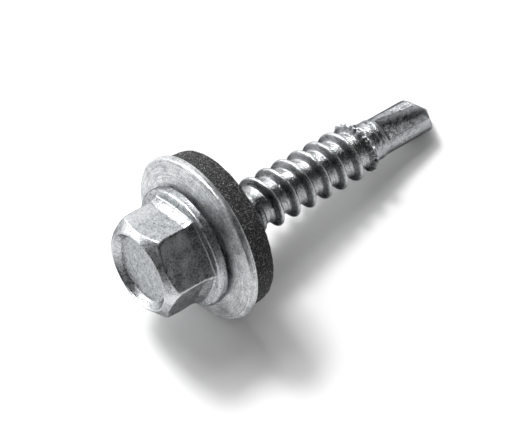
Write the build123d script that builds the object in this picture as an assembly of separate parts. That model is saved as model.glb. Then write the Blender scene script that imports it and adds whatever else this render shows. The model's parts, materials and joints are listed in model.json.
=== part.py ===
"""Self drilling screw ST4.8 x 25 with a hexagon washer head, and its bonded sealing washer.

Each piece is drawn upright about its own axis: Z = 0 is the underside of the flange, the head lies below
it (Z negative) and the drill point above it (Z positive). The whole object is then laid down as it comes
to rest on a flat surface: on the edge of its washer and on the shoulder of its drill point, with the tip
towards +X. The origin is the centre of the bottom of its box. Sizes are in millimetres, angles in degrees.
"""

import os
from math import atan2, cos, degrees, hypot, radians, sin, sqrt, tan

from build123d import *

# Hexagon head
HEX_ACROSS_FLATS = 7.9
HEAD_HEIGHT = 5.05  # from the underside of the flange to the top of the hexagon
HEX_EDGE_RADIUS = 0.22  # rounding of the six upright edges
CROWN_DROP_FLAT = 0.35  # how far down the forged rounding of the top reaches at a flat
CROWN_DROP_CORNER = 1.7  # and at a corner
RECESS_RIM = 0.6  # from the mouth of the recess to a flat of the hexagon
RECESS_WALL_SLOPE = 0.3  # how much the recess narrows from its mouth to its floor
RECESS_DEPTH = 0.55
HEX_TURN = 7.0  # turn of the hexagon about the axis, from the upward direction

# Flange forged in one with the head
FLANGE_DIA = 10.5
FLANGE_THICKNESS = 1.15  # at the foot of the hexagon
FLANGE_EDGE_THICKNESS = 0.9
FLANGE_EDGE_RADIUS = 0.25
HEX_FOOT_RADIUS = 0.2  # fillet between the hexagon and the flange

# Shank, thread and neck
LENGTH = 26.1  # from the underside of the flange to the tip
NECK_DIA = 3.95
NECK_GAP = 0.3  # from the washer to the end of the neck
NECK_STEP = 0.225  # length over which the neck narrows to the core
THREAD_DIA = 4.8
THREAD_ROOT_DIA = 3.5
THREAD_PITCH = 1.72
THREAD_CREST_WIDTH = 0.25
THREAD_FLANK_ANGLE = 60.0
THREAD_SINK = 0.15  # how deep the foot of the thread reaches into the core
THREAD_START = 6.0  # from the underside of the flange to the first trace of the thread
THREAD_END = 18.9
THREAD_PHASE = 121.0  # turn of the thread about the axis

# Pinched drill point
DRILL_DIA = 3.4
COLLAR_DIA = 3.56  # ring that the dies leave between the thread and the flutes
COLLAR_LENGTH = 1.35
COLLAR_STEP = 0.1  # length of the slope at either end of the collar
POINT_ANGLE = 108.0
POINT_TILT = 12.5  # the dies leave the point leaning to one side
POINT_TILT_TURN = 130.0  # turn of the higher side of the point about the axis
FLUTE_ANGLE = 88.0  # between the two walls of a flute
WEB_THICKNESS = 0.8  # steel left between the two flutes at the tip
FLUTE_LENGTH = 5.8
FLUTE_RISE_TURN = 42.0  # direction in which the corner of a flute rises, from its first wall
FLUTE_OVERRUN = 1.2  # the flute's tool is longer than the flute by this factor
DRILL_TURN = -45.0  # turn of the flutes about the axis

# Bonded washer: a dished steel disc with a rubber ring bonded under it
WASHER_DIA = 14.6
STEEL_THICKNESS = 0.6
STEEL_EDGE_RADIUS = 0.25
STEEL_BORE_CLEARANCE = 0.2  # between the steel disc and the neck, all round
WASHER_SLOPE = 11.0  # dish of the disc
LAND_WIDTH = 0.9  # flat ring around the bore, which bears on the flange
SEAL_THICKNESS = 2.2
SEAL_INSET = 0.35  # from the rim of the steel disc to the rubber
SEAL_TAPER = 0.2  # how much narrower the rubber is at its free face
SEAL_BORE_CLEARANCE = 0.08  # between the rubber and the neck, all round
WASHER_PLAY = 0.05  # between the flange and the washer

# How the solids are drawn
RUN_OUT_SKIN = 0.01  # how far the run-out surfaces stay off the core and the crest
REST_SLAB = 0.1  # thickness of the slices in which the reach of the drill point is measured

# Worked out from the sizes above
HEX_CORNER_RADIUS = HEX_ACROSS_FLATS / sqrt(3)
RECESS_RADIUS = HEX_ACROSS_FLATS / 2 - RECESS_RIM
FLANGE_RADIUS = FLANGE_DIA / 2
NECK_RADIUS = NECK_DIA / 2
ROOT_RADIUS = THREAD_ROOT_DIA / 2
CREST_RADIUS = THREAD_DIA / 2
DRILL_RADIUS = DRILL_DIA / 2
POINT_HEIGHT = DRILL_RADIUS / tan(radians(POINT_ANGLE / 2))
SHOULDER_HEIGHT = LENGTH - POINT_HEIGHT
COLLAR_RADIUS = COLLAR_DIA / 2
THREAD_FOOT_RADIUS = ROOT_RADIUS - THREAD_SINK
THREAD_FLANK = (CREST_RADIUS - THREAD_FOOT_RADIUS) * tan(radians(THREAD_FLANK_ANGLE / 2))
THREAD_HALF_FOOT = THREAD_CREST_WIDTH / 2 + THREAD_FLANK

STEEL_BORE_RADIUS = NECK_RADIUS + STEEL_BORE_CLEARANCE
SEAL_BORE_RADIUS = NECK_RADIUS + SEAL_BORE_CLEARANCE
LAND_RADIUS = STEEL_BORE_RADIUS + LAND_WIDTH
WASHER_RADIUS = WASHER_DIA / 2
DISH = tan(radians(WASHER_SLOPE))
SEAL_RADIUS = WASHER_RADIUS - SEAL_INSET
SEAL_FACE_RADIUS = SEAL_RADIUS - SEAL_TAPER
NECK_END = WASHER_PLAY + STEEL_THICKNESS + SEAL_THICKNESS + NECK_GAP


def dish_height(radius):
    """Height of the upper side of the steel disc at a radius."""
    return WASHER_PLAY + max(0.0, radius - LAND_RADIUS) * DISH


def revolved(points):
    """Solid of revolution about Z from (radius, height) points."""
    outline = Polyline(*[(r, 0, z) for r, z in points], close=True)
    return revolve(make_face(outline), Axis.Z)


def hexagon_head():
    """Hexagon with its forged crown, without the recess."""
    blank = extrude(RegularPolygon(HEX_CORNER_RADIUS, 6), HEAD_HEIGHT)
    blank = fillet(blank.edges().filter_by(Axis.Z), HEX_EDGE_RADIUS)
    blank = Pos(0, 0, -HEAD_HEIGHT) * blank
    start = (RECESS_RADIUS, -HEAD_HEIGHT)
    at_flat = (HEX_ACROSS_FLATS / 2, CROWN_DROP_FLAT - HEAD_HEIGHT)
    end = (HEX_CORNER_RADIUS, CROWN_DROP_CORNER - HEAD_HEIGHT)
    outline = Curve() + [
        Line((0, -HEAD_HEIGHT), start), ThreePointArc(start, at_flat, end),
        Polyline(end, (HEX_CORNER_RADIUS, 0), (0, 0), (0, -HEAD_HEIGHT)),
    ]
    crown = revolve(make_face(Plane.XZ * outline), Axis.Z)
    return Rot(0, 0, HEX_TURN) * (blank & crown)


def recess():
    """Round dished recess in the top of the head."""
    floor = RECESS_RADIUS - RECESS_WALL_SLOPE
    bottom = RECESS_DEPTH - HEAD_HEIGHT
    return revolved(
        [(0, -HEAD_HEIGHT - 1), (RECESS_RADIUS, -HEAD_HEIGHT - 1), (RECESS_RADIUS, -HEAD_HEIGHT),
         (floor, bottom), (0, bottom)]
    )


def flange():
    """Flange with a flat foot for the hexagon and a sloping upper side."""
    foot = HEX_CORNER_RADIUS + 2 * HEX_FOOT_RADIUS
    disc = revolved(
        [(0, 0), (FLANGE_RADIUS, 0), (FLANGE_RADIUS, -FLANGE_EDGE_THICKNESS), (foot, -FLANGE_THICKNESS),
         (0, -FLANGE_THICKNESS)]
    )
    circles = disc.edges().filter_by(GeomType.CIRCLE)
    rim = [e for e in circles if abs(e.radius - FLANGE_RADIUS) < 0.01]
    return fillet(rim, FLANGE_EDGE_RADIUS)


def thread_turns():
    """Ridge of the spaced tapping thread, with its foot sunk into the core."""
    path = Helix(THREAD_PITCH, THREAD_END - THREAD_START - 2 * THREAD_HALF_FOOT, THREAD_FOOT_RADIUS)
    ridge = Polyline(
        (THREAD_FOOT_RADIUS, 0, -THREAD_HALF_FOOT), (CREST_RADIUS, 0, -THREAD_CREST_WIDTH / 2),
        (CREST_RADIUS, 0, THREAD_CREST_WIDTH / 2), (THREAD_FOOT_RADIUS, 0, THREAD_HALF_FOOT), close=True,
    )
    turns = sweep(make_face(ridge), path=path, is_frenet=True)
    return Pos(0, 0, THREAD_START + THREAD_HALF_FOOT) * turns


def threaded_core():
    """Core with its thread, which grows out of it and runs out again over one pitch."""
    bottom, top = -FLANGE_THICKNESS / 2, THREAD_END + COLLAR_LENGTH
    core = revolved([(0, bottom), (ROOT_RADIUS, bottom), (ROOT_RADIUS, top), (0, top)])
    inner, outer = ROOT_RADIUS + RUN_OUT_SKIN, CREST_RADIUS + RUN_OUT_SKIN
    envelope = revolved(
        [(0, -FLANGE_THICKNESS), (inner, -FLANGE_THICKNESS), (inner, THREAD_START),
         (outer, THREAD_START + THREAD_PITCH), (outer, THREAD_END - THREAD_PITCH), (inner, THREAD_END),
         (inner, LENGTH), (0, LENGTH)]
    )
    return Rot(0, 0, THREAD_PHASE) * ((core + thread_turns()) & envelope)


def neck():
    """Plain neck under the flange, on which the washer turns."""
    bottom = -FLANGE_THICKNESS / 2
    return revolved(
        [(0, bottom), (NECK_RADIUS, bottom), (NECK_RADIUS, NECK_END - NECK_STEP), (ROOT_RADIUS, NECK_END),
         (0, NECK_END)]
    )


def flute(turn):
    """Tool that cuts one flute: a V-shaped notch, deep at the tip, which rises out of the steel."""
    half_web = WEB_THICKNESS / 2
    far = 2 * DRILL_DIA
    lean = radians(FLUTE_ANGLE)
    notch = Polyline(
        (0, half_web), (far, half_web), (far, far), (far * cos(lean), far), (far * cos(lean), far * sin(lean)),
        close=True,
    )
    rise = radians(FLUTE_RISE_TURN)
    along = Vector(0, 0, -FLUTE_LENGTH) + Vector(cos(rise), sin(rise), 0) * (DRILL_RADIUS - half_web)
    start = Pos(0, 0, LENGTH) * make_face(notch)
    return Rot(0, 0, turn) * extrude(start, amount=along.length * FLUTE_OVERRUN, dir=along)


def point_cone():
    """Cone whose upper end is the point, leaning to one side."""
    depth = 2 * DRILL_DIA
    cone = revolved([(0, 0), (depth * tan(radians(POINT_ANGLE / 2)), -depth), (0, -depth)])
    lean = Rot(0, 0, POINT_TILT_TURN) * Rot(0, -POINT_TILT, 0) * Rot(0, 0, -POINT_TILT_TURN)
    return Pos(0, 0, LENGTH) * lean * cone


def drill_point():
    """Collar and pinched drill point with its two flutes."""
    collar_end = THREAD_END + COLLAR_LENGTH
    collar = revolved(
        [(0, THREAD_END), (ROOT_RADIUS, THREAD_END), (COLLAR_RADIUS, THREAD_END + COLLAR_STEP),
         (COLLAR_RADIUS, collar_end - COLLAR_STEP), (DRILL_RADIUS, collar_end), (0, collar_end)]
    )
    blank = revolved([(0, THREAD_END), (DRILL_RADIUS, THREAD_END), (DRILL_RADIUS, LENGTH), (0, LENGTH)])
    return collar + ((blank & point_cone()) - flute(DRILL_TURN) - flute(DRILL_TURN + 180))


def is_foot(edge):
    """Whether an edge is where the hexagon meets the flange."""
    at = edge.center()
    return abs(at.Z + FLANGE_THICKNESS) < 0.01 and 1 < hypot(at.X, at.Y) < HEX_CORNER_RADIUS


def head():
    """Hexagon and flange, with a small fillet between them and the recess in the top."""
    blank = hexagon_head() + flange()
    foot = [edge for edge in blank.edges() if is_foot(edge)]
    return fillet(foot, HEX_FOOT_RADIUS) - recess()


def screw():
    """The whole screw, one forged, rolled and pinched piece of steel."""
    return head() + (threaded_core() + neck() + drill_point())


def steel_washer():
    """Dished steel disc with a flat ring around its bore and a rounded upper rim."""
    top = dish_height(WASHER_RADIUS)
    disc = revolved(
        [(STEEL_BORE_RADIUS, WASHER_PLAY), (LAND_RADIUS, WASHER_PLAY), (WASHER_RADIUS, top),
         (WASHER_RADIUS, top + STEEL_THICKNESS), (LAND_RADIUS, WASHER_PLAY + STEEL_THICKNESS),
         (STEEL_BORE_RADIUS, WASHER_PLAY + STEEL_THICKNESS)]
    )
    rim = [e for e in disc.edges() if abs(e.center().Z - top) < 0.01]
    return fillet(rim, STEEL_EDGE_RADIUS)


def rubber_seal():
    """Rubber ring bonded under the steel disc, following its dish."""
    under = dish_height(SEAL_RADIUS) + STEEL_THICKNESS
    land = WASHER_PLAY + STEEL_THICKNESS
    face_rim = dish_height(SEAL_FACE_RADIUS) + STEEL_THICKNESS + SEAL_THICKNESS
    return revolved(
        [(SEAL_BORE_RADIUS, land), (LAND_RADIUS, land), (SEAL_RADIUS, under), (SEAL_FACE_RADIUS, face_rim),
         (LAND_RADIUS, land + SEAL_THICKNESS), (SEAL_BORE_RADIUS, land + SEAL_THICKNESS)]
    )


def underside(body):
    """Heights along the drill point and how far it reaches down from the axis at each, once laid down."""
    height = THREAD_END + COLLAR_LENGTH
    found = []
    while height < LENGTH - REST_SLAB:
        slab = Pos(0, 0, height) * Box(2 * DRILL_DIA, 2 * DRILL_DIA, REST_SLAB)
        found.append((height, -(body & slab).bounding_box().min.X))
        height += REST_SLAB
    return found


def dip_angle(points):
    """Angle of the axis below the horizontal, with the washer and the drill point on the floor."""
    steel_rim = (dish_height(WASHER_RADIUS) + STEEL_THICKNESS, WASHER_RADIUS)
    rubber_rim = (dish_height(SEAL_FACE_RADIUS) + STEEL_THICKNESS + SEAL_THICKNESS, SEAL_FACE_RADIUS)
    return max(
        min(atan2(radius - reach, at - height) for at, reach in points)
        for height, radius in (steel_rim, rubber_rim)
    )


def laid_down(pieces):
    """The pieces turned onto the floor, with the origin under the middle of their common box."""
    dip = dip_angle(underside(pieces["screw"]))
    axis = (cos(dip), 0, -sin(dip))
    upward = (sin(dip), 0, cos(dip))
    turn = Plane(origin=(0, 0, 0), x_dir=upward, z_dir=axis).location
    turned = {name: turn * piece for name, piece in pieces.items()}
    boxes = [piece.bounding_box() for piece in turned.values()]
    middle_x = (min(box.min.X for box in boxes) + max(box.max.X for box in boxes)) / 2
    middle_y = (min(box.min.Y for box in boxes) + max(box.max.Y for box in boxes)) / 2
    lowest = min(box.min.Z for box in boxes)
    print(f"dip {degrees(dip):.4f}, flange centre at {-middle_x:.4f}, {-middle_y:.4f}, {-lowest:.4f}")
    shift = Pos(-middle_x, -middle_y, -lowest)
    return {name: shift * piece for name, piece in turned.items()}


def main():
    """Build the pieces, lay them down and write each to its own file."""
    pieces = {"screw": screw(), "steel_washer": steel_washer(), "rubber_seal": rubber_seal()}
    os.makedirs("parts", exist_ok=True)
    for name, piece in laid_down(pieces).items():
        export_step(piece, f"parts/{name}.step")


if __name__ == "__main__":
    main()
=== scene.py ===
"""Self drilling screw with its bonded sealing washer, lying on a pale studio floor.

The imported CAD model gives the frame: the screw's axis and the middle of its flange come from the joint on
which the washer turns. All sizes in the classes are millimetres, measured along that axis from the underside
of the flange: the head lies at negative heights and the drill point at positive ones. Turns are degrees about
the axis, from the upward direction towards the front. Blender's meshes are in metres.
"""

from __future__ import annotations

import json
import logging
from dataclasses import dataclass, field
from enum import Enum
from math import atan2, cos, degrees, pi, radians, sin, sqrt, tan

import bmesh
import bpy
import numpy as np
from mathutils import Matrix, Vector


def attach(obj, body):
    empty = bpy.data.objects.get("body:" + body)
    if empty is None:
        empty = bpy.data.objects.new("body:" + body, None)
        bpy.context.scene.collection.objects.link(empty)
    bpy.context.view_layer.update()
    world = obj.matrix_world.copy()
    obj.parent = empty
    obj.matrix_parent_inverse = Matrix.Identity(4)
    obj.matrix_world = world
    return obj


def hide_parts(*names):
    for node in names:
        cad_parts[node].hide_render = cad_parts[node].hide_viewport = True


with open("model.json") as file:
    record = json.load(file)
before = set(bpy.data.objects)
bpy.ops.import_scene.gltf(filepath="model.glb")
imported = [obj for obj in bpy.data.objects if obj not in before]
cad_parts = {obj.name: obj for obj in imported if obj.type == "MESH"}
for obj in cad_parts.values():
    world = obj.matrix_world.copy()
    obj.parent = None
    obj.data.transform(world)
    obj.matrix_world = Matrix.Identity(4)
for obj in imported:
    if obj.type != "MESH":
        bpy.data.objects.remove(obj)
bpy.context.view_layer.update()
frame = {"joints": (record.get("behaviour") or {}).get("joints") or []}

log = logging.getLogger("screw")
MM = 0.001
MAP_RADIUS = 2.0  # mm: near the shank's own radius, where the surface map measures the way round the axis
SURFACE_MAP = "Surface_mm"
# per point: wear that rubs the plating bright, and painted shade that darkens it
WEAR_AND_SHADE = "Wear_and_shade"

Array = np.ndarray
Socket = bpy.types.NodeSocket


class Body(Enum):
    """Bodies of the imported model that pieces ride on."""

    SCREW = "screw"
    WASHER = "sealing_washer"


def linear(colour: str) -> tuple[float, float, float, float]:
    """Turn an sRGB colour into the linear one that the shaders take.

    Args:
        colour: the sRGB colour as a hex string such as "#c0c4c8".

    Returns:
        Linear red, green, blue and an opaque alpha.
    """
    parts = [int(colour[i:i + 2], 16) / 255 for i in (1, 3, 5)]
    made = [p / 12.92 if p <= 0.04045 else ((p + 0.055) / 1.055) ** 2.4 for p in parts]
    return made[0], made[1], made[2], 1.0


def add_node(
    tree: bpy.types.NodeTree, kind: str, settings: dict | None = None, **links: Socket
) -> bpy.types.Node:
    """Add a node to a tree, set it up and link its inputs.

    Args:
        tree: the node tree that takes the node.
        kind: the node's type, such as "ShaderNodeTexNoise".
        settings: attributes of the node, and under the key of an input's name or number its plain value.
        links: for each input, by name with spaces as underscores or as in_0, in_1, the socket that feeds it.

    Returns:
        The new node.
    """
    node = tree.nodes.new(kind)
    for key, value in (settings or {}).items():
        if isinstance(key, int) or key in node.inputs:
            node.inputs[key].default_value = value
        else:
            setattr(node, key, value)
    for key, socket in links.items():
        entry = int(key[3:]) if key.startswith("in_") else key.replace("_", " ")
        tree.links.new(socket, node.inputs[entry])
    return node


def set_ramp(node: bpy.types.Node, stops: list[tuple[float, str]]) -> bpy.types.Node:
    """Give a colour ramp its stops, each a position and an sRGB colour.

    Args:
        node: the colour ramp.
        stops: position and colour of each stop, in order.

    Returns:
        The same node.
    """
    ramp = node.color_ramp
    while len(ramp.elements) < len(stops):
        ramp.elements.new(0.5)
    for element, (position, colour) in zip(ramp.elements, stops):
        element.position = position
        element.color = linear(colour)
    return node


@dataclass(frozen=True)
class ScrewAxis:
    """The axis of the screw as it lies on the floor, and the directions square to it."""

    centre: Array
    along: Array
    up: Array
    front: Array

    @classmethod
    def from_joint(cls, joint: dict) -> "ScrewAxis":
        """Take the axis from the joint on which the washer turns.

        Args:
            joint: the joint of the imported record.

        Returns:
            The axis, with its centre in millimetres.
        """
        along = np.array(joint["axis"], float)
        along /= np.linalg.norm(along)
        up = np.array([0.0, 0.0, 1.0]) - along[2] * along
        up /= np.linalg.norm(up)
        return cls(np.array(joint["pos_m"], float) / MM, along, up, np.cross(along, up))

    def place(self, height: Array, radius: Array, turn: Array) -> Array:
        """Points given about the axis, in the row frame.

        Args:
            height: millimetres along the axis from the flange.
            radius: millimetres from the axis.
            turn: degrees about the axis.

        Returns:
            One row of x, y and z in metres for each point.
        """
        height, radius, turn = np.broadcast_arrays(height, radius, np.radians(turn))
        points = (
            self.centre
            + height[..., None] * self.along
            + (radius * np.cos(turn))[..., None] * self.up
            + (radius * np.sin(turn))[..., None] * self.front
        )
        return points * MM


@dataclass
class Ring:
    """One closed ring of points about the axis.

    The value for wear and shade says how the plating looks there: above 0 rubbed bright by wear, below 0
    darker: painted shade on the thread's flanks and in the drill's flute, and a darker strip on the drill's
    land.
    """

    height: Array
    radius: Array
    turn: Array
    wear_and_shade: Array | float = 0.0


def ring_quads(rings: int, columns: int, closed: bool) -> list[list[int]]:
    """List the quads between neighbouring rings.

    Args:
        rings: how many rings there are.
        columns: how many points each ring has.
        closed: whether the last ring joins the first.

    Returns:
        Four point numbers for each quad.
    """
    ring, column = np.meshgrid(np.arange(rings if closed else rings - 1), np.arange(columns), indexing="ij")
    after_ring, after_column = (ring + 1) % rings, (column + 1) % columns
    corners = [ring * columns + column, ring * columns + after_column,
               after_ring * columns + after_column, after_ring * columns + column]
    return np.stack(corners, -1).reshape(-1, 4).tolist()


def lay_surface_map(mesh: bpy.types.Mesh, height: Array, radius: Array, turn: Array, pitch: float) -> None:
    """Give a skin its UV map in millimetres, round the axis and along the surface.

    Args:
        mesh: the skin's mesh, with the rings' points first and any end points after them.
        height: heights of the points, ring by ring.
        radius: their radii.
        turn: their turns in degrees.
        pitch: advance of the helix that the second coordinate follows, or 0 for none.
    """
    count = height.shape[1]
    steps = np.hypot(np.diff(height, axis=0), np.diff(radius, axis=0))
    travel = np.vstack([np.zeros(count), np.cumsum(steps, 0)])
    ends = np.zeros((1, count))
    across = np.append(np.radians(turn) * MAP_RADIUS, ends, 0).reshape(-1)
    down = np.append(height if pitch else travel, ends, 0).reshape(-1)
    loops = np.zeros(len(mesh.loops), int)
    mesh.loops.foreach_get("vertex_index", loops)
    loops = np.minimum(loops, len(across) - 1)
    wide, deep = across[loops], down[loops]
    starts = np.zeros(len(mesh.polygons), int)
    totals = np.zeros(len(mesh.polygons), int)
    mesh.polygons.foreach_get("loop_start", starts)
    mesh.polygons.foreach_get("loop_total", totals)
    lowest = np.repeat(np.minimum.reduceat(wide, starts), totals)
    lap = 2 * pi * MAP_RADIUS
    wide = np.where(wide - lowest > lap / 2, wide - lap, wide)
    deep = deep - pitch * wide / lap
    layer = mesh.uv_layers.new(name=SURFACE_MAP)
    layer.data.foreach_set("uv", np.stack([wide, deep], -1).reshape(-1).astype(np.float32))


def skin(
    name: str, axis: ScrewAxis, rings: list[Ring], ends: tuple[float, float] | None, pitch: float = 0.0
) -> bpy.types.Object:
    """Stretch a skin of quads over rings of equal count.

    Args:
        name: name of the piece.
        axis: the axis that the rings lie about.
        rings: the rings, in order along the surface.
        ends: heights of the two end points on the axis, or None where the last ring joins the first.
        pitch: advance of the helix that the surface's second coordinate follows, in mm a turn.

    Returns:
        The new object, smooth shaded, with its UV map and the wear and painted shade of its points.
    """
    count = len(rings[0].turn)
    height = np.array([np.broadcast_to(r.height, count) for r in rings])
    radius = np.array([np.broadcast_to(r.radius, count) for r in rings])
    turn = np.array([r.turn for r in rings])
    wear_and_shade = np.array([np.broadcast_to(r.wear_and_shade, count) for r in rings], float).reshape(-1)
    points = axis.place(height, radius, turn).reshape(-1, 3)
    faces = ring_quads(len(rings), count, ends is None)
    if ends is not None:
        first, last, tail = len(points), len(points) + 1, len(points) - count
        points = np.vstack([points, axis.place(np.array(ends), np.zeros(2), np.zeros(2))])
        wear_and_shade = np.append(wear_and_shade, np.zeros(2))
        faces += [[first, (c + 1) % count, c] for c in range(count)]
        faces += [[last, tail + c, tail + (c + 1) % count] for c in range(count)]
    mesh = bpy.data.meshes.new(name)
    mesh.from_pydata(points.tolist(), [], faces)
    lay_surface_map(mesh, height, radius, turn, pitch)
    mesh.polygons.foreach_set("use_smooth", np.ones(len(mesh.polygons), bool))
    body = bmesh.new()
    body.from_mesh(mesh)
    bmesh.ops.recalc_face_normals(body, faces=body.faces[:])
    body.to_mesh(mesh)
    body.free()
    mesh.update()
    mesh.attributes.new(WEAR_AND_SHADE, "FLOAT", "POINT").data.foreach_set("value", wear_and_shade.astype(np.float32))
    made = bpy.data.objects.new(name, mesh)
    bpy.context.scene.collection.objects.link(made)
    return made


def eased(value: Array | float) -> Array:
    """Ease a share from 0 to 1 with level ends."""
    share = np.clip(value, 0.0, 1.0)
    return share * share * (3 - 2 * share)


def soft_least(first: Array, second: Array | float, reach: float) -> Array:
    """The lesser of two values, with the corner between them rounded.

    Args:
        first: one value.
        second: the other.
        reach: how far apart the values still blend.

    Returns:
        The blended values.
    """
    mix = np.clip(0.5 + 0.5 * (second - first) / reach, 0.0, 1.0)
    return second * (1 - mix) + first * mix - reach * mix * (1 - mix)


class Ripples:
    """Smooth seeded waves round the axis and along it, for the unevenness that forging and rolling leave."""

    def __init__(self, seed: int, waves: int, around: int, per_mm: float) -> None:
        """Draw the waves.

        Args:
            seed: seed of the draw.
            waves: how many waves are summed.
            around: most waves in one turn.
            per_mm: most waves in a millimetre along the axis.
        """
        draw = np.random.default_rng(seed)
        self.around = draw.integers(-around, around + 1, waves)
        self.along = draw.uniform(-per_mm, per_mm, waves) * 2 * pi
        self.shift = draw.uniform(0, 2 * pi, waves)
        self.share = draw.uniform(0.4, 1.0, waves) / sqrt(waves)

    def at(self, height: Array | float, turn: Array) -> Array:
        """Height of the waves, mostly between -1 and 1.

        Args:
            height: millimetres along the axis.
            turn: degrees about the axis.

        Returns:
            The sum of the waves at each point.
        """
        height, turn = np.broadcast_arrays(height, np.radians(turn))
        total = np.zeros(height.shape)
        for around, along, shift, share in zip(self.around, self.along, self.shift, self.share):
            total += share * np.sin(around * turn + along * height + shift)
        return total


@dataclass
class HexagonHead:
    """Cold forged hexagon with a round dished recess in its top, and the flange under it."""

    across_flats: float = 7.9
    height: float = 5.05
    turn: float = 7.0
    edge_radius: float = 0.25
    # Depth below the top and radius of the crown's round profile, and how fast it widens after that.
    crown: tuple[tuple[float, float], ...] = (
        (0.0, 3.45), (0.05, 3.56), (0.46, 3.95), (0.58, 4.12), (0.7, 4.3), (0.86, 4.46), (1.2, 4.65))
    crown_flare: float = 0.15
    crown_blend: float = 0.07
    # Depth below the top and rounding of the upright edges there: blunt at the crown, crisp below.
    crown_edges: tuple[tuple[float, float], ...] = (
        (0.3, 1.7), (0.6, 1.1), (0.9, 0.6), (1.3, 0.35), (2.0, 0.25))
    # Depths of the rings down the hexagon: from, to and how many.
    crown_depths: tuple[tuple[float, float, int], ...] = ((0.02, 0.5, 13), (0.55, 2.0, 19), (2.1, 3.3, 9))
    recess_radius: float = 3.35
    recess_floor_radius: float = 2.86
    recess_depth: float = 0.55
    recess_fillet: tuple[float, float] = (0.08, 0.1)  # width and height
    rim_radius: float = 0.1
    rim_wear: float = 0.8
    foot_top: float = 1.64
    foot_bottom: float = 0.98
    foot_width: float = 0.4
    # Shares of the way down the foot, and the groove that the die leaves below it, as share and width.
    foot_shares: tuple[float, ...] = (-0.06, 0.0, 0.04, 0.25, 0.5, 0.75, 0.93)
    foot_groove: tuple[tuple[float, float], ...] = (
        (0.98, -0.015), (1.03, -0.045), (1.08, -0.02), (1.13, 0.03), (1.2, 0.06))
    flange_radius: float = 5.25
    flange_edge: float = 0.8
    flange_edge_radius: float = 0.25
    flange_lower_radius: float = 0.1
    flange_wall: tuple[float, ...] = (-0.35, -0.14)  # heights of the rings on its upright edge
    underside: tuple[float, ...] = (4.4, 3.4, 2.6, 2.15)  # radii of the rings under it
    # Heights of the waves in the recess's floor and of the dents in the flats, and the crown's waves as a
    # share of its radius.
    floor_wave: float = 0.012
    crown_wave: float = 0.004
    flat_dent: float = 0.016
    columns_a_corner: int = 8
    columns_a_side: int = 32

    def turns(self) -> Array:
        """Turns of the columns, close together at the six upright edges."""
        reach = self.edge_half_angle(self.edge_radius) * 1.25
        corner = np.linspace(-reach, reach, self.columns_a_corner)
        flat = np.linspace(reach, 60 - reach, self.columns_a_side - self.columns_a_corner + 2)[1:-1]
        side = np.concatenate([corner, flat])
        return np.concatenate([side + 60 * k for k in range(6)]) + self.turn

    def edge_half_angle(self, edge: float) -> float:
        """Half the angle about the axis that the rounding of an upright edge takes.

        Args:
            edge: radius of the rounding.

        Returns:
            Degrees about the axis.
        """
        flat = self.across_flats / 2
        return 30 - degrees(atan2((flat - edge) * tan(radians(30)), flat))

    def outline(self, edge: float) -> Array:
        """Radius of the hexagon in each column, with its upright edges rounded.

        Args:
            edge: radius of the rounding.

        Returns:
            The radius in each column.
        """
        flat = self.across_flats / 2
        off = np.radians(np.abs((self.turns() - self.turn + 30) % 60 - 30))
        straight = flat / np.cos(radians(30) - off)
        centre = (flat - edge) / cos(radians(30))
        across = centre * np.sin(off)
        rounded = centre * np.cos(off) + np.sqrt(np.maximum(edge ** 2 - across ** 2, 0))
        return np.where(np.degrees(off) < self.edge_half_angle(edge), rounded, straight)

    def cornering(self) -> Array:
        """How far each column is from the middle of a flat, 0, to a sharp corner, 1."""
        flat, corner = self.across_flats / 2, self.across_flats / sqrt(3)
        return (self.outline(self.edge_radius) - flat) / (corner - flat)

    def ring(self, height: Array | float, radius: Array | float, wear_and_shade: Array | float = 0.0) -> Ring:
        """One ring of the head.

        Args:
            height: height of its points.
            radius: radius of its points.
            wear_and_shade: how far the plating is rubbed bright.

        Returns:
            The ring.
        """
        turn = self.turns()
        return Ring(np.broadcast_to(height, turn.shape), np.broadcast_to(radius, turn.shape), turn, wear_and_shade)

    def recess_rings(self, wavy: Ripples) -> list[Ring]:
        """Rings from the middle of the recess over its wall to its rim.

        Args:
            wavy: unevenness of the floor.

        Returns:
            The rings, outwards.
        """
        turn, top = self.turns(), -self.height
        floor, (wide, high) = top + self.recess_depth, self.recess_fillet
        rings = []
        for share in np.linspace(0.08, 0.97, 12):
            dish = floor + self.floor_wave * wavy.at(share * 8, turn)
            rings.append(self.ring(dish, share * self.recess_floor_radius))
        rings += [self.ring(floor - high * eased(share) ** 2, self.recess_floor_radius + wide * share)
                  for share in np.linspace(0, 1, 4)]
        low_radius, low = self.recess_floor_radius + wide, floor - high
        rise = top + self.rim_radius - low
        rings += [self.ring(low + share * rise, low_radius + share * (self.recess_radius - low_radius))
                  for share in np.linspace(0.15, 0.9, 5)]
        for angle in np.radians(np.linspace(0, 90, 5)):
            rings.append(self.ring(top + self.rim_radius * (1 - sin(angle)),
                                   self.recess_radius + self.rim_radius * (1 - cos(angle)), self.rim_wear))
        return rings

    def crown_rings(self, wavy: Ripples) -> list[Ring]:
        """Rings over the crown and down the flats.

        Args:
            wavy: unevenness of the crown.

        Returns:
            The rings, downwards.
        """
        turn, top, dent = self.turns(), -self.height, Ripples(5, 16, 14, 0.8)
        (drops, widths), (depths, edges) = np.array(self.crown).T, np.array(self.crown_edges).T
        rubbed = np.clip(self.cornering() * 3 - 2, 0, 1)  # on the last third of the way to an upright edge
        rings = []
        for step in np.concatenate([np.linspace(*span) for span in self.crown_depths]):
            around = np.interp(step, drops, widths) + max(0.0, step - drops[-1]) * self.crown_flare
            around = around * (1 + self.crown_wave * wavy.at(0, turn) * min(1, step * 4))
            shape = self.outline(float(np.interp(step, depths, edges)))
            radius = soft_least(shape, around, self.crown_blend)
            on_flat = 1 - eased((shape - radius) / 0.02)  # the dents stay clear of the round crown
            inward = self.flat_dent * dent.at(top + step, turn) * on_flat * min(1, step)
            rings.append(self.ring(top + step, radius + inward, rubbed))
        return rings

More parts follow.
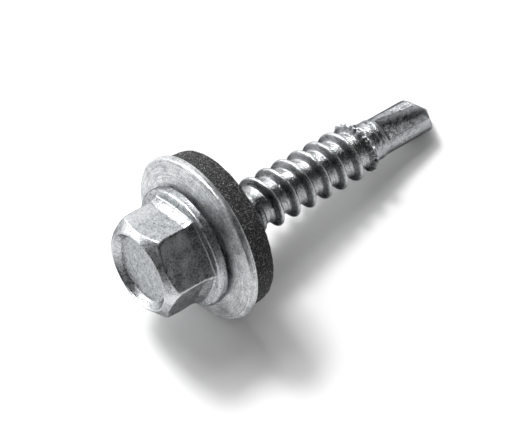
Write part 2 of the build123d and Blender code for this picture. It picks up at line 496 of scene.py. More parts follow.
    def flange_rings(self) -> list[Ring]:
        """Rings over the bevelled foot of the hexagon, the groove below it and the flange."""
        rim, bottom = -self.foot_top, -self.foot_bottom
        fall = bottom - rim
        hexagon = self.outline(self.edge_radius)
        width = self.foot_width * (1 - 0.5 * self.cornering())  # narrower at the corners
        rings = [self.ring(rim + share * fall, hexagon + width * max(0.0, share))
                 for share in self.foot_shares]
        rings += [self.ring(rim + share * fall, hexagon + width + out) for share, out in self.foot_groove]
        shoulder = self.flange_radius - self.flange_edge_radius
        foot = np.minimum(hexagon + width + 0.08, shoulder - 0.04)
        start, high = bottom + 0.2 * fall, -self.flange_edge
        rings += [self.ring(start + share * (high - start), foot + share * (shoulder - foot))
                  for share in (0.1, 0.4, 0.7, 1.0)]
        for angle in np.radians(np.linspace(15, 90, 6)):
            rings.append(self.ring(high + self.flange_edge_radius * (1 - cos(angle)),
                                   shoulder + self.flange_edge_radius * sin(angle)))
        rings += [self.ring(height, self.flange_radius) for height in self.flange_wall]
        lower = self.flange_lower_radius
        rings += [self.ring(lower * (sin(angle) - 1), self.flange_radius - lower * (1 - cos(angle)))
                  for angle in np.radians(np.linspace(0, 90, 4))]
        return rings + [self.ring(0.0, radius) for radius in self.underside]

    def rings(self) -> list[Ring]:
        """Rings from the middle of the recess to the underside of the flange."""
        wavy = Ripples(3, 14, 9, 0.35)
        return self.recess_rings(wavy) + self.crown_rings(wavy) + self.flange_rings()


@dataclass
class TappingThread:
    """Neck and spaced tapping thread, rolled on a core, with a ragged last turn."""

    neck_radius: float = 1.975
    neck_end: float = 2.925
    neck_slope: float = 1.2  # length of the step down to the core for each mm that it goes down
    root_radius: float = 1.75
    crest_radius: float = 2.4
    pitch: float = 1.72
    crest_width: float = 0.24
    flank_angle: float = 60.0
    start: float = 6.0
    end: float = 18.9
    run: float = 1.3  # length over which the thread grows and dies away
    run_past: float = 0.5  # how far past its end the thread dies away
    run_fullness: float = 0.6  # below 1, the thread grows faster at first
    phase: float = 121.0  # turn at which a crest lies at the height below
    middle: float = 6.587
    crest_cap: float = 0.02  # above the crest, which the blend takes down again
    crest_blend: float = 0.14
    root_blend: float = 0.1
    ragged: float = 0.32  # of the thread's height, on the last turn
    ragged_length: float = 1.9
    ragged_rise: float = 1.2
    crest_wave: float = 0.02  # of the thread's height
    skin_wave: float = 0.006
    # The dies rub the crests and the valleys bright; the flanks get painted shade, heavier on their side
    # towards the head.
    flank_painted_shade: tuple[float, float] = (0.85, 0.15)  # towards the head and towards the tip
    valley_wear: float = 0.7
    step: float = 0.07  # between the rings

    def from_crest(self, height: Array, turn: Array) -> Array:
        """Millimetres along the axis from the nearest crest, negative on its head side."""
        travel = height - self.middle - self.pitch * (turn - self.phase) / 360
        return (travel + self.pitch / 2) % self.pitch - self.pitch / 2

    def ridge(self, height: Array, turn: Array) -> Array:
        """Height of the thread over its core.

        Args:
            height: millimetres along the axis.
            turn: degrees about the axis.

        Returns:
            Millimetres above the core.
        """
        full = self.crest_radius - self.root_radius
        slope = 1 / tan(radians(self.flank_angle / 2))
        bare = full + (self.crest_width / 2 - np.abs(self.from_crest(height, turn))) * slope
        capped = soft_least(bare, full + self.crest_cap, self.crest_blend)
        raised = -soft_least(-capped, 0.0, self.root_blend)
        rising = eased((height - self.start) / self.run)
        falling = eased((self.end + self.run_past - height) / self.run)
        grown = np.minimum(rising ** self.run_fullness, falling ** self.run_fullness)
        return np.clip(raised, 0, None) * grown

    def core(self, height: float) -> float:
        """Radius of the core, which narrows at the end of the neck."""
        step = self.neck_radius - self.root_radius
        return float(self.neck_radius - step * eased((height - self.neck_end) / (self.neck_slope * step)))

    def rings(self, turns: list[Array], heights: Array) -> list[Ring]:
        """Rings from the flange over the neck and the thread.

        Args:
            turns: the columns' turns at each height.
            heights: the heights of the rings.

        Returns:
            One ring for each height.
        """
        uneven = Ripples(11, 24, 12, 1.4)
        ragged = Ripples(17, 30, 36, 3.0)
        made = []
        for height, turn in zip(heights, turns):
            at = np.full_like(turn, height)
            ridge = self.ridge(at, turn)
            share = ridge / (self.crest_radius - self.root_radius)
            tail = self.ragged * eased((height - (self.end - self.ragged_length)) / self.ragged_rise)
            ridge = ridge * (1 + share * (self.crest_wave * uneven.at(at, turn) + tail * ragged.at(at, turn)))
            on_thread = height > self.start
            surface = self.core(height) + ridge + self.skin_wave * uneven.at(at * 2, turn) * on_thread
            # painted shade: the flanks are darkened, more on the side towards the head
            dull = np.where(self.from_crest(at, turn) < 0, *self.flank_painted_shade)
            # The wear and the painted shade go by how far up the ridge a point lies: rubbed valley, painted
            # shade on the flank, rubbed crest.
            flank_shade = dull * eased(share / 0.25) * eased((1.05 - share) / 0.25)
            valley = self.valley_wear * eased(1 - share / 0.08) * on_thread
            crest = np.clip((share - 0.8) / 0.25, 0, 1)
            made.append(Ring(at, surface, turn, crest + valley - flank_shade))
        return made


@dataclass
class DrillPoint:
    """Pinched drill point: a low collar, two forged flutes and a point that leans to one side."""

    radius: float = 1.7
    collar_radius: float = 1.78
    collar_start: float = 18.9
    collar_end: float = 20.25
    collar_rise: float = 0.25
    collar_fall: float = 0.18
    # Rings that the dies leave on the collar: half their height, their spacing and the place of the first.
    die_rings: tuple[float, float, float] = (0.03, 0.45, 18.95)
    length: float = 26.1
    point_angle: float = 108.0
    point_tilt: float = 12.5
    point_tilt_turn: float = 130.0
    flute_start: float = 20.25
    flute_ramp: float = 0.4
    flute_taper_end: float = 24.9
    # At the start of the flute and at its taper's end: corner of the flute's bowl, then the turns of the
    # facet's edge and of the flute's first edge.
    corner_radius: tuple[float, float] = (0.88, 1.0)
    corner_turn: tuple[float, float] = (-22.0, 14.0)
    corner_pull: float = 1.3  # how far the bowl is drawn into its corner
    facet_edge: tuple[float, float] = (-50.0, -35.0)
    first_edge: tuple[float, float] = (-29.0, -1.0)
    last_edge: float = 47.0
    # Darker plating, as the share of the way across where it sets in and the length over which it does: a
    # darker strip on the land just before the facet, and painted shade on the far side of the flute's hollow.
    dull_strip: tuple[float, float] = (0.76, 0.06)
    dull_strip_darkening: float = 0.55
    flute_painted_shade: tuple[float, float] = (0.45, 0.25)
    collar_ragged: float = 0.25  # of the collar's height
    skin_wave: float = 0.008
    settling: int = 12
    facet_columns: int = 8
    flute_columns: int = 46
    land_columns: int = 42
    rings_along: int = 56
    rings_end: int = 12

    def half(self, height: Array) -> tuple[Array, Array, Array]:
        """Half a cross-section: the flat facet beside a flute, the flute and the land behind it.

        Args:
            height: height of each column of the half.

        Returns:
            Radius, turn and darkening of each column: painted shade in the flute and a darker strip on the
            land.
        """
        counts = [self.facet_columns, self.flute_columns, self.land_columns]
        share = np.concatenate([np.linspace(0, 1, n + 1)[:-1] for n in counts])
        on_facet, on_flute = (np.repeat([k == n for k in range(3)], counts) for n in (0, 1))
        taper = (height - self.flute_start) / (self.flute_taper_end - self.flute_start)
        along = np.clip(taper, 0, 1)

        def between(ends: tuple[float, float]) -> Array:
            """Value along the flute's taper, given at its two ends."""
            return ends[0] + along * (ends[1] - ends[0])

        def at(angle: Array, radius: Array | float) -> Array:
            """Points of the section at turns in radians and radii."""
            return np.stack([radius * np.cos(angle), radius * np.sin(angle)])

        facet, first = np.radians(between(self.facet_edge)), np.radians(between(self.first_edge))
        last = np.full_like(height, radians(self.last_edge))
        corner = at(np.radians(between(self.corner_turn)), between(self.corner_radius))
        flat = at(facet, self.radius) * (1 - share) + at(first, self.radius) * share
        pull = 2 * self.corner_pull * share * (1 - share)
        weight = (1 - share) ** 2 + pull + share ** 2
        bowl = (at(first, self.radius) * (1 - share) ** 2 + corner * pull
                + at(last, self.radius) * share ** 2) / weight
        land = at(last + share * (facet + pi - last), self.radius)
        x, y = np.where(on_facet, flat, np.where(on_flute, bowl, land))
        opened = eased((height - self.flute_start) / self.flute_ramp)
        radius = self.radius + (np.hypot(x, y) - self.radius) * opened
        strip = self.dull_strip_darkening * eased((share - self.dull_strip[0]) / self.dull_strip[1])
        # painted shade: the far side of the flute's hollow is darkened
        rubbed = eased((share - self.flute_painted_shade[0]) / self.flute_painted_shade[1])
        dull = np.where(on_facet, 0.0, np.where(on_flute, rubbed, strip)) * opened
        return radius, np.degrees(np.unwrap(np.arctan2(y, x))), -dull

    def section(self, height: Array) -> tuple[Array, Array, Array]:
        """A whole cross-section.

        Args:
            height: height of each column.

        Returns:
            Radius, turn and darkening of each column (painted shade in the flute), with the turns rising.
        """
        count = len(height) // 2
        front, back = self.half(height[:count]), self.half(height[count:])
        radius, turn, wear_and_shade = (np.concatenate(pair) for pair in zip(front, back))
        turn[count:] += 180
        return radius, turn, wear_and_shade

    def end_height(self, radius: Array, turn: Array) -> Array:
        """Height of the leaning point's surface.

        Args:
            radius: millimetres from the axis.
            turn: degrees about the axis.

        Returns:
            Millimetres along the axis.
        """
        steep = self.point_angle / 2 + self.point_tilt * np.cos(np.radians(turn - self.point_tilt_turn))
        return self.length - radius / np.tan(np.radians(steep))

    def collar(self, height: Array) -> Array:
        """Extra radius of the collar, with the rings that the dies leave on it."""
        rise = eased((height - self.collar_start) / self.collar_rise)
        fall = eased((self.collar_end - height) / self.collar_fall)
        depth, spacing, first = self.die_rings
        rings = depth * np.cos((height - first) * 2 * pi / spacing)
        return rise * fall * (self.collar_radius - self.radius + rings)

    def rings(self) -> list[Ring]:
        """Rings from the start of the collar to the tip."""
        count = 2 * (self.facet_columns + self.flute_columns + self.land_columns)
        rings = []
        ragged = Ripples(23, 24, 16, 1.5)
        rough = Ripples(29, 26, 14, 2.2)
        start = self.collar_start
        for share in np.linspace(0, 1, self.rings_along):
            # Height and section depend on each other near the tip, so they settle in a few rounds.
            height = np.full(count, start)
            for _ in range(self.settling):
                radius, turn, wear_and_shade = self.section(height)
                height = start + (self.end_height(radius, turn) - start) * share
            radius = radius + self.collar(height) * (1 + self.collar_ragged * ragged.at(height, turn))
            rings.append(Ring(height, radius + self.skin_wave * rough.at(height, turn), turn, wear_and_shade))
        edge = rings[-1]
        for share in np.linspace(0, 1, self.rings_end + 1)[1:-1]:
            radius = edge.radius * (1 - share)
            rings.append(Ring(self.end_height(radius, edge.turn), radius, edge.turn))
        return rings


@dataclass
class Screw:
    """The whole screw, skinned in one piece from the recess of its head to its tip."""

    axis: ScrewAxis
    head: HexagonHead = field(default_factory=HexagonHead)
    thread: TappingThread = field(default_factory=TappingThread)
    drill: DrillPoint = field(default_factory=DrillPoint)
    drift_start: float = 12.0  # from here on the columns drift from the head's turns to the drill point's

    def build(self) -> bpy.types.Object:
        """Build the screw's mesh.

        Returns:
            The screw, riding on its own body in place of the CAD screw.
        """
        head, drill = self.head.rings(), self.drill.rings()
        heights = np.concatenate([
            np.linspace(0.05, self.thread.start - 0.1, 9),
            np.arange(self.thread.start, self.drill.collar_start - 0.02, self.thread.step),
        ])
        turn_start, turn_end = self.head.turns(), drill[0].turn
        shift = int(np.argmin(np.abs((turn_end[0] - turn_start + 180) % 360 - 180)))
        turn_start = np.degrees(np.unwrap(np.radians(np.roll(turn_start, -shift))))
        lap = 360 * round((turn_start[0] - turn_end[0]) / 360)
        turn_end = turn_end + lap
        # The rubbed strips aren't shifted with the columns: they lie beside the upright edges.
        for ring in head:
            ring.height, ring.radius = np.roll(ring.height, -shift), np.roll(ring.radius, -shift)
            ring.turn = turn_start
        for ring in drill:
            ring.turn = ring.turn + lap
        drift = eased((heights - self.drift_start) / (self.drill.collar_start - self.drift_start))
        turns = [turn_start + (turn_end - turn_start) * share for share in drift]
        rings = head + self.thread.rings(turns, heights) + drill
        ends = (-self.head.height + self.head.recess_depth, self.drill.length)
        made = skin("screw_forged", self.axis, rings, ends, self.thread.pitch)
        columns = len(turn_start)
        rolled = np.zeros(len(made.data.polygons), np.int32)
        rolled[len(head) * columns:-2 * columns] = 1
        rolled[-columns:] = 1
        made.data.polygons.foreach_set("material_index", rolled)
        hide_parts("screw")
        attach(made, Body.SCREW.value)
        return made

    def dress(self, made: bpy.types.Object) -> None:
        """Plate the forged head and the rolled shank, in the order of their faces' numbers."""
        made.data.materials.append(FORGED_ZINC.material())
        made.data.materials.append(ROLLED_ZINC.material())


@dataclass
class SteelDisc:
    """Dished steel disc of the sealing washer, punched and pressed from galvanised sheet."""

    axis: ScrewAxis
    bore_radius: float = 2.175
    land_radius: float = 3.075
    radius: float = 7.3
    lift: float = 0.05
    thickness: float = 0.6
    slope: float = 11.0
    bend: float = 0.5
    upper_edge: float = 0.25
    lower_edge: float = 0.08
    bore_edge: float = 0.06
    bore_step: float = 0.2
    wave: float = 0.012
    wave_reach: float = 2.5  # outside the land, where the waves reach their full height
    columns: int = 240

    def height(self, radius: float) -> float:
        """Height of the upper side at a radius, with a soft bend at the flat land."""
        away = max(0.0, radius - self.land_radius)
        return self.lift + tan(radians(self.slope)) * (away * away / (away + self.bend))

    def profile(self) -> list[tuple[float, float]]:
        """Closed outline of the disc's section, from the bore over the upper side and back below."""
        top = self.height(self.radius)
        points = [(self.bore_radius, self.lift + self.bore_edge + 0.05)]
        points += [(self.bore_radius + self.bore_edge, self.lift)]
        inner, shoulder = self.bore_radius + self.bore_step, self.radius - self.upper_edge
        points += [(r, self.height(r)) for r in np.linspace(inner, shoulder, 22)]
        start = self.height(shoulder)
        for angle in np.radians(np.linspace(12, 90, 7)):
            points.append((shoulder + self.upper_edge * sin(angle),
                           start + (top + self.upper_edge - start) * (1 - cos(angle))))
        bottom, lower, below = top + self.thickness, self.lower_edge, self.lift + self.thickness
        points += [(self.radius, bottom - lower), (self.radius - lower * 0.3, bottom - lower * 0.3),
                   (self.radius - lower, bottom)]
        points += [(r, self.height(r) + self.thickness) for r in np.linspace(shoulder, inner, 10)]
        points += [(self.bore_radius + self.bore_edge, below), (self.bore_radius, below - self.bore_edge)]
        return points

    def build(self) -> bpy.types.Object:
        """Build the disc.

        Returns:
            The disc, riding on the washer's body in place of the CAD disc.
        """
        turn = np.linspace(0, 360, self.columns, endpoint=False)
        wavy = Ripples(31, 12, 7, 0.3)
        rings = []
        for radius, height in self.profile():
            outer = eased((radius - self.land_radius) / self.wave_reach)
            place = height + self.wave * outer * wavy.at(radius, turn)
            rings.append(Ring(place, np.full_like(turn, radius), turn))
        made = skin("washer_disc", self.axis, rings, None)
        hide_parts("steel_washer")
        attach(made, Body.WASHER.value)
        return made

    def dress(self, made: bpy.types.Object) -> None:
        """Give the disc its galvanised surface."""
        made.data.materials.append(GalvanisedSheet().material())


@dataclass
class RubberSeal:
    """Rubber ring bonded under the steel disc, cut from a moulded sheet with a granular skin."""

    axis: ScrewAxis
    disc: SteelDisc
    bore_radius: float = 2.055
    radius: float = 6.95
    face_radius: float = 6.75
    thickness: float = 2.2
    edge: float = 0.18
    bulge: float = 0.05
    bond: float = 0.01  # how deep the rubber reaches into the disc
    grain: float = 0.022
    grain_inner: float = 2.2  # radius where the grain sets in
    grain_reach: tuple[float, float] = (0.12, 0.2)  # its growth, away from the disc and from the bore
    columns: int = 480

    def profile(self) -> list[tuple[float, float]]:
        """Closed outline of the seal's section, from the bore along the disc and over the free face."""
        under = self.disc.thickness - self.bond
        low = self.disc.height(self.bore_radius) + under
        points = [(self.bore_radius, low)]
        outwards = np.linspace(self.bore_radius + 0.3, self.radius, 9)
        points += [(r, self.disc.height(r) + under) for r in outwards]
        foot = self.disc.height(self.radius) + under
        head = self.disc.height(self.face_radius) + under + self.thickness
        for share in np.linspace(0, 1, 30)[1:-1]:
            wall = self.radius + share * (self.face_radius - self.radius) + self.bulge * sin(pi * share)
            points.append((wall, foot + share * (head - self.edge - foot)))
        for angle in np.radians(np.linspace(0, 90, 7)):
            points.append((self.face_radius - self.edge * (1 - cos(angle)),
                           head - self.edge * (1 - sin(angle))))
        face = np.linspace(self.face_radius - self.edge - 0.25, self.bore_radius, 14)
        points += [(r, self.disc.height(r) + under + self.thickness) for r in face]
        return points + [(self.bore_radius, low + share * self.thickness) for share in (0.75, 0.5, 0.25)]

    def build(self) -> bpy.types.Object:
        """Build the seal.

        Returns:
            The seal, riding on the washer's body in place of the CAD seal.
        """
        turn = np.linspace(0, 360, self.columns, endpoint=False)
        draw = np.random.default_rng(41)
        lumpy = Ripples(43, 20, 22, 1.2)
        rings = []
        for radius, height in self.profile():
            # The grain dies away towards the disc and the bore.
            below = height - self.disc.height(radius) - self.disc.thickness
            down, out = self.grain_reach
            free = float(eased(below / down) * eased((radius - self.grain_inner) / out))
            push = self.grain * (draw.standard_normal(self.columns) * 0.8 + lumpy.at(height, turn))
            rings.append(Ring(height + 0.4 * push * free, radius + push * free, turn))
        made = skin("washer_seal", self.axis, rings, None)
        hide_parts("rubber_seal")
        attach(made, Body.WASHER.value)
        return made

    def dress(self, made: bpy.types.Object) -> None:
        """Give the seal its rubber."""
        made.data.materials.append(BlackRubber().material())


def begin_material(name: str) -> tuple[bpy.types.Material, bpy.types.NodeTree, bpy.types.Node, Socket]:
    """Start a material with its surface shader and a coordinate in millimetres.

    Args:
        name: name of the material.

    Returns:
        The material, its tree, its surface shader and the coordinate.
    """
    material = bpy.data.materials.new(name)
    material.use_nodes = True
    tree = material.node_tree
    tree.nodes.clear()
    shader = add_node(tree, "ShaderNodeBsdfPrincipled")
    add_node(tree, "ShaderNodeOutputMaterial", Surface=shader.outputs[0])
    place = add_node(tree, "ShaderNodeTexCoord")
    scaled = add_node(tree, "ShaderNodeMapping", {"Scale": (1 / MM,) * 3}, Vector=place.outputs["Object"])
    return material, tree, shader, scaled.outputs[0]


@dataclass(frozen=True)
class ZincPlate:
    """Bright zinc plating on cold worked steel.

    To the eye it is a mirror that the plating's crystals have clouded: mottled light and dark grey, with a
    soft sheen. It is whiter where tools have rubbed it. It is darker where painted shade is laid on the
    thread's flanks, in the drill's flute and on a strip of its land, and its edge colour darkens the
    reflection at a glancing angle as painted shade.
    """

    name: str
    bright: str = "#dcdee0"
    middle: str = "#b9bcbe"
    dull: str = "#7d8082"
    # painted shade: a dark edge colour darkens the reflection at a glancing angle
    edge: str = "#8c8c8c"
    # painted shade: the tone that darkens the thread's flanks, the drill's flute and a strip of its land
    painted_shade_tone: str = "#707070"
    rubbed_tone: str = "#eceeef"
    crystal_mm: float = 0.42  # clouds of crystals that grew together
    grain_mm: float = 0.14  # the real grains are some 0.02 mm, too fine to show, so they are drawn coarser
    roughness: tuple[float, float] = (0.2, 0.42)
    grain_bump: float = 0.6
    line_bump: float = 0.0  # helical lines that the rolling dies leave, none on forged parts
    line_mm: tuple[float, float] = (1 / 0.3, 1 / 3.6)  # their length and spacing; the real ones are finer

    def material(self) -> bpy.types.Material:
        """Make the plating's material."""
        material, tree, shader, at = begin_material(self.name)
        shader.inputs["Metallic"].default_value = 1.0
        # painted shade at a glancing angle, from the edge colour
        shader.inputs["Specular Tint"].default_value = linear(self.edge)
        crystal = add_node(tree, "ShaderNodeTexNoise", {
            "Scale": 1 / self.crystal_mm, "Detail": 5.0, "Roughness": 0.72, "Distortion": 0.6}, Vector=at)
        grain = add_node(tree, "ShaderNodeTexNoise", {
            "Scale": 1 / self.grain_mm, "Detail": 3.0, "Roughness": 0.65}, Vector=at)
        clouds = add_node(tree, "ShaderNodeMath", {"operation": "MULTIPLY", 1: 0.45}, in_0=crystal.outputs[0])
        mottle = add_node(tree, "ShaderNodeMath", {"operation": "MULTIPLY_ADD", 1: 0.55},
                          in_0=grain.outputs[0], in_2=clouds.outputs[0]).outputs[0]
        tint = set_ramp(add_node(tree, "ShaderNodeValToRGB", Fac=mottle),
                        [(0.37, self.dull), (0.5, self.middle), (0.63, self.bright)])
        wear_and_shade = add_node(tree, "ShaderNodeAttribute", {"attribute_name": WEAR_AND_SHADE}).outputs["Fac"]
        # painted shade: where the value for wear and shade is below 0, the colour is darkened
        painted_shade = add_node(tree, "ShaderNodeMapRange", {
            "From Min": 0.0, "From Max": -1.0, "To Min": 0.0, "To Max": 0.85}, Value=wear_and_shade)
        darker = add_node(tree, "ShaderNodeMixRGB", {
            "blend_type": "MULTIPLY", "Color2": linear(self.painted_shade_tone)},
            Color1=tint.outputs[0], Fac=painted_shade.outputs[0])
        rubbed = add_node(tree, "ShaderNodeMapRange", {
            "From Min": 0.0, "From Max": 1.0, "To Min": 0.0, "To Max": 0.5}, Value=wear_and_shade)
        worn = add_node(tree, "ShaderNodeMixRGB", {"blend_type": "MIX", "Color2": linear(self.rubbed_tone)},
                        Color1=darker.outputs[0], Fac=rubbed.outputs[0])
        tree.links.new(worn.outputs[0], shader.inputs["Base Color"])
        low, high = self.roughness
        rough = add_node(tree, "ShaderNodeMapRange", {
            "From Min": 0.3, "From Max": 0.7, "To Min": low, "To Max": high}, Value=mottle)
        tree.links.new(rough.outputs[0], shader.inputs["Roughness"])
        bump = add_node(tree, "ShaderNodeBump", {"Strength": self.grain_bump, "Distance": 0.04 * MM},
                        Height=mottle)
        if self.line_bump:
            surface = add_node(tree, "ShaderNodeUVMap", {"uv_map": SURFACE_MAP})
            length, spacing = self.line_mm
            drawn = add_node(tree, "ShaderNodeMapping", {"Scale": (1 / length, 1 / spacing, 1.0)},
                             Vector=surface.outputs[0])
            lines = add_node(tree, "ShaderNodeTexNoise", {"Scale": 1.0, "Detail": 4.0, "Roughness": 0.7},
                             Vector=drawn.outputs[0])
            bump = add_node(tree, "ShaderNodeBump", {"Strength": self.line_bump, "Distance": 0.1 * MM},
                            Height=lines.outputs[0], Normal=bump.outputs[0])
        tree.links.new(bump.outputs[0], shader.inputs["Normal"])
        return material


# The forged head is clouded; the rolled shank is shinier, more broken up, and its darker edge colour lays
# more painted shade on it at a glancing angle.
FORGED_ZINC = ZincPlate("zinc_plate_forged")
ROLLED_ZINC = ZincPlate("zinc_plate_rolled", dull="#46484a", edge="#4c4c4c", crystal_mm=0.3, grain_mm=0.1,
                        roughness=(0.12, 0.3), grain_bump=1.4, line_bump=1.4)


@dataclass(frozen=True)
class GalvanisedSheet:
    """Galvanised sheet steel, pressed to a dish.

    To the eye it is pale and satin, without clear reflections, with faint streaks round the dish where the
    press drew it, clouds from the zinc bath, and flecks.
    """

    bright: str = "#e6e7e8"
    middle: str = "#bcbec0"
    dull: str = "#86888a"
    cloud_mm: float = 1 / 0.9
    fleck_mm: float = 0.16  # drawn coarser than the real flecks, which wouldn't show
    streak_mm: tuple[float, float] = (1 / 1.2, 0.12)  # length and spacing, the spacing drawn coarser too
    roughness: tuple[float, float] = (0.34, 0.52)
    bump: float = 0.7

    def material(self) -> bpy.types.Material:
        """Make the sheet's material."""
        material, tree, shader, at = begin_material("galvanised_sheet")
        shader.inputs["Metallic"].default_value = 1.0
        cloud = add_node(tree, "ShaderNodeTexNoise", {
            "Scale": 1 / self.cloud_mm, "Detail": 6.0, "Roughness": 0.7}, Vector=at)
        fleck = add_node(tree, "ShaderNodeTexNoise", {
            "Scale": 1 / self.fleck_mm, "Detail": 3.0, "Roughness": 0.6}, Vector=at)
        surface = add_node(tree, "ShaderNodeUVMap", {"uv_map": SURFACE_MAP})
        length, spacing = self.streak_mm
        drawn = add_node(tree, "ShaderNodeMapping", {"Scale": (1 / length, 1 / spacing, 1.0)},
                         Vector=surface.outputs[0])
        streak = add_node(tree, "ShaderNodeTexNoise", {
            "Scale": 1.0, "Detail": 3.0, "Roughness": 0.6, "Distortion": 0.3}, Vector=drawn.outputs[0])
        both = add_node(tree, "ShaderNodeMath", {"operation": "ADD"},
                        in_0=fleck.outputs[0], in_1=streak.outputs[0])
        every = add_node(tree, "ShaderNodeMath", {"operation": "ADD"}, in_0=both.outputs[0],
                         in_1=cloud.outputs[0])
        mottle = add_node(tree, "ShaderNodeMath", {"operation": "MULTIPLY", 1: 1 / 3},
                          in_0=every.outputs[0]).outputs[0]
        tint = set_ramp(add_node(tree, "ShaderNodeValToRGB", Fac=mottle),
                        [(0.4, self.dull), (0.5, self.middle), (0.6, self.bright)])
        tree.links.new(tint.outputs[0], shader.inputs["Base Color"])
        low, high = self.roughness
        rough = add_node(tree, "ShaderNodeMapRange", {
            "From Min": 0.35, "From Max": 0.65, "To Min": low, "To Max": high}, Value=mottle)
        tree.links.new(rough.outputs[0], shader.inputs["Roughness"])
        bump = add_node(tree, "ShaderNodeBump", {"Strength": self.bump, "Distance": 0.04 * MM}, Height=mottle)
        tree.links.new(bump.outputs[0], shader.inputs["Normal"])
        return material


@dataclass(frozen=True)
class BlackRubber:
    """Carbon black EPDM rubber with a pale mineral filler.

    To the eye it is matt and nearly black, peppered with light grains where the filler lies open.
    """

    base: str = "#131314"
    middle: str = "#3a3a3b"
    pale: str = "#a2a2a1"
    grain_mm: float = 0.072  # the filler's real grains are finer, and wouldn't show
    cloud_mm: float = 0.108
    roughness: float = 0.78
    ior: float = 1.48
    bump: float = 0.8

    def material(self) -> bpy.types.Material:
        """Make the rubber's material."""
        material, tree, shader, at = begin_material("black_rubber")
        grain = add_node(tree, "ShaderNodeTexVoronoi", {"feature": "F1", "Scale": 1 / self.grain_mm},
                         Vector=at)
        speck = add_node(tree, "ShaderNodeSeparateColor", in_0=grain.outputs["Color"])
        cloud = add_node(tree, "ShaderNodeTexNoise", {
            "Scale": 1 / self.cloud_mm, "Detail": 4.0, "Roughness": 0.8}, Vector=at)
        pepper = add_node(tree, "ShaderNodeMath", {"operation": "MULTIPLY"}, in_0=speck.outputs[0],
                          in_1=cloud.outputs[0]).outputs[0]
        tint = set_ramp(add_node(tree, "ShaderNodeValToRGB", Fac=pepper),
                        [(0.2, self.base), (0.4, self.middle), (0.6, self.pale)])
        tree.links.new(tint.outputs[0], shader.inputs["Base Color"])
        shader.inputs["Roughness"].default_value = self.roughness
        shader.inputs["IOR"].default_value = self.ior
        bump = add_node(tree, "ShaderNodeBump", {"Strength": self.bump, "Distance": 0.06 * MM}, Height=pepper)
        tree.links.new(bump.outputs[0], shader.inputs["Normal"])
        return material


@dataclass(frozen=True)
class Lamp:
    """A soft rectangular lamp that faces the object."""

    name: str
    azimuth: float  # degrees from straight behind the object towards its tip
    elevation: float  # degrees above the floor
    size: tuple[float, float]  # metres, as the distance is
    power: float  # watts
    mirrored: bool = True  # whether the metal mirrors the lamp
    distance: float = 0.6

    def hang(self) -> None:
        """Hang the lamp."""
        data = bpy.data.lights.new(self.name, "AREA")
        data.shape = "RECTANGLE"
        data.size, data.size_y = self.size
        data.energy = self.power
        lamp = bpy.data.objects.new(self.name, data)
        bpy.context.scene.collection.objects.link(lamp)
        a, e = radians(self.azimuth), radians(self.elevation)
        way = Vector((sin(a) * cos(e), cos(a) * cos(e), sin(e)))
        lamp.location = way * self.distance
        lamp.rotation_euler = way.to_track_quat("Z", "Y").to_euler()
        lamp.visible_glossy = self.mirrored


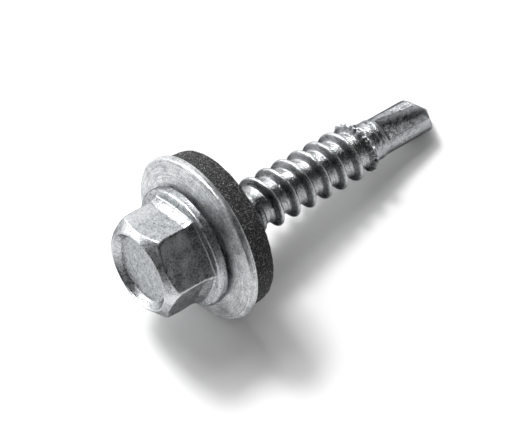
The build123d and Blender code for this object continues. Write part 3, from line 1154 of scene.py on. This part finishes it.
@dataclass
class Studio:
    """White paper floor in a dim room, with a pale screen and soft lamps behind the object."""

    axis: ScrewAxis
    floor_size: float = 3.0
    floor_colour: str = "#f4f4f4"
    floor_lift: float = 0.05
    # Place in mm, aim and top of the camera, each along the screw, square up from it and to the front.
    camera_place: tuple[float, float, float] = (-75.98153, 147.46703, 61.52)
    camera_aim: tuple[float, float, float] = (0.46028, -0.8222, -0.33485)
    camera_top: tuple[float, float, float] = (0.43986, 0.53884, -0.71845)
    sensor: float = 36.0
    lens: float = 151.4
    screen_azimuth: float = 9.0
    screen_light: float = 1.12
    screen_sides: tuple[float, float] = (0.56, 0.74)  # cosines off its middle: dark and full
    screen_top: tuple[float, float] = (0.42, 0.62)  # sines above the floor: full and dark
    room: tuple[tuple[float, str], ...] = (
        (0.0, "#b0b0b0"), (0.22, "#9c9c9c"), (0.5, "#404040"), (1.0, "#282828"))
    room_light: tuple[float, float] = (1.0, 0.25)  # in front of the object and behind it
    lamps: tuple[Lamp, ...] = (
        Lamp("key", -2, 55, (0.13, 0.1), 2.1),
        Lamp("soft", 0, 58, (0.4, 0.32), 2.2),
        Lamp("fill", 0, 78, (0.9, 0.9), 0.85, mirrored=False),
        Lamp("low", -35, 18, (0.48, 0.2), 1.25),
    )

    def floor(self) -> bpy.types.Object:
        """Lay the floor, white where no shadow falls.

        Returns:
            The floor.
        """
        half = self.floor_size / 2
        mesh = bpy.data.meshes.new("floor")
        corners = [(-half, -half, 0), (half, -half, 0), (half, half, 0), (-half, half, 0)]
        mesh.from_pydata(corners, [], [(0, 1, 2, 3)])
        made = bpy.data.objects.new("floor", mesh)
        bpy.context.scene.collection.objects.link(made)
        # White paper is matt and evenly pale. A touch of its own light for the eye and for what mirrors it
        # brings it to white without more light on the object.
        material, tree, shader, _ = begin_material("white_paper")
        shader.inputs["Base Color"].default_value = linear(self.floor_colour)
        shader.inputs["Roughness"].default_value = 0.9
        shader.inputs["Specular IOR Level"].default_value = 0.2
        shader.inputs["Emission Color"].default_value = (1, 1, 1, 1)
        path = add_node(tree, "ShaderNodeLightPath")
        seen = add_node(tree, "ShaderNodeMath", {"operation": "ADD"}, in_0=path.outputs["Is Camera Ray"],
                        in_1=path.outputs["Is Glossy Ray"])
        every = add_node(tree, "ShaderNodeMath", {"operation": "ADD"}, in_0=seen.outputs[0],
                         in_1=path.outputs["Is Transmission Ray"])
        lift = add_node(tree, "ShaderNodeMath", {"operation": "MULTIPLY", 1: self.floor_lift},
                        in_0=every.outputs[0])
        tree.links.new(lift.outputs[0], shader.inputs["Emission Strength"])
        made.data.materials.append(material)
        return made

    def world(self) -> None:
        """Surround the object with a dim room that has one wide pale screen low behind the object."""
        world = bpy.data.worlds.new("studio")
        bpy.context.scene.world = world
        world.use_nodes = True
        tree = world.node_tree
        tree.nodes.clear()
        way = add_node(tree, "ShaderNodeTexCoord").outputs["Generated"]
        height = add_node(tree, "ShaderNodeSeparateXYZ", Vector=way).outputs["Z"]
        level = add_node(tree, "ShaderNodeVectorMath", {"operation": "MULTIPLY", 1: (1, 1, 0)}, in_0=way)
        flat = add_node(tree, "ShaderNodeVectorMath", {"operation": "NORMALIZE"}, in_0=level.outputs[0])
        middle = radians(self.screen_azimuth)
        facing = add_node(tree, "ShaderNodeVectorMath", {
            "operation": "DOT_PRODUCT", 1: (sin(middle), cos(middle), 0)},
            in_0=flat.outputs[0]).outputs["Value"]
        wide = add_node(tree, "ShaderNodeMapRange", {
            "interpolation_type": "SMOOTHSTEP", "From Min": self.screen_sides[0],
            "From Max": self.screen_sides[1]}, Value=facing)
        low = add_node(tree, "ShaderNodeMapRange", {
            "interpolation_type": "SMOOTHSTEP", "From Min": self.screen_top[0],
            "From Max": self.screen_top[1], "To Min": 1.0, "To Max": 0.0}, Value=height)
        screen = add_node(tree, "ShaderNodeMath", {"operation": "MULTIPLY"}, in_0=wide.outputs[0],
                          in_1=low.outputs[0])
        room = set_ramp(add_node(tree, "ShaderNodeValToRGB", Fac=height), list(self.room))
        side = add_node(tree, "ShaderNodeMapRange", {
            "From Min": -0.4, "From Max": 0.3, "To Min": self.room_light[0], "To Max": self.room_light[1]},
            Value=facing)
        dark = add_node(tree, "ShaderNodeBackground", Color=room.outputs[0], Strength=side.outputs[0])
        pale = add_node(tree, "ShaderNodeBackground", {"Color": (1, 1, 1, 1), "Strength": self.screen_light})
        shown = add_node(tree, "ShaderNodeMixShader", in_0=screen.outputs[0], in_1=dark.outputs[0],
                         in_2=pale.outputs[0])
        add_node(tree, "ShaderNodeOutputWorld", Surface=shown.outputs[0])

    def camera(self) -> None:
        """Set up the camera."""
        data = bpy.data.cameras.new("camera")
        data.sensor_width = self.sensor
        data.lens = self.lens
        data.clip_start, data.clip_end = 0.01, 10.0
        camera = bpy.data.objects.new("camera", data)
        bpy.context.scene.collection.objects.link(camera)
        world = np.array([self.axis.along, self.axis.up, self.axis.front]).T
        aim, top = Vector(world @ self.camera_aim), Vector(world @ self.camera_top)
        place = Vector(self.axis.centre + world @ self.camera_place) * MM
        turn = Matrix([aim.cross(top).normalized(), top.normalized(), -aim.normalized()]).transposed()
        camera.matrix_world = Matrix.Translation(place) @ turn.to_4x4()
        bpy.context.scene.camera = camera

    def build(self) -> None:
        """Set up the whole studio."""
        self.floor()
        self.world()
        for lamp in self.lamps:
            lamp.hang()
        self.camera()
        bpy.context.scene.view_settings.view_transform = "Standard"


def main() -> None:
    """Build and dress the pieces in order, then set up the studio."""
    logging.basicConfig(level=logging.INFO, format="%(message)s")
    axis = ScrewAxis.from_joint(frame["joints"][0])
    disc = SteelDisc(axis)
    for piece in (Screw(axis), disc, RubberSeal(axis, disc)):
        made = piece.build()
        piece.dress(made)
        log.info("%s: %d faces", made.name, len(made.data.polygons))
    Studio(axis).build()


if __name__ == "__main__":
    main()
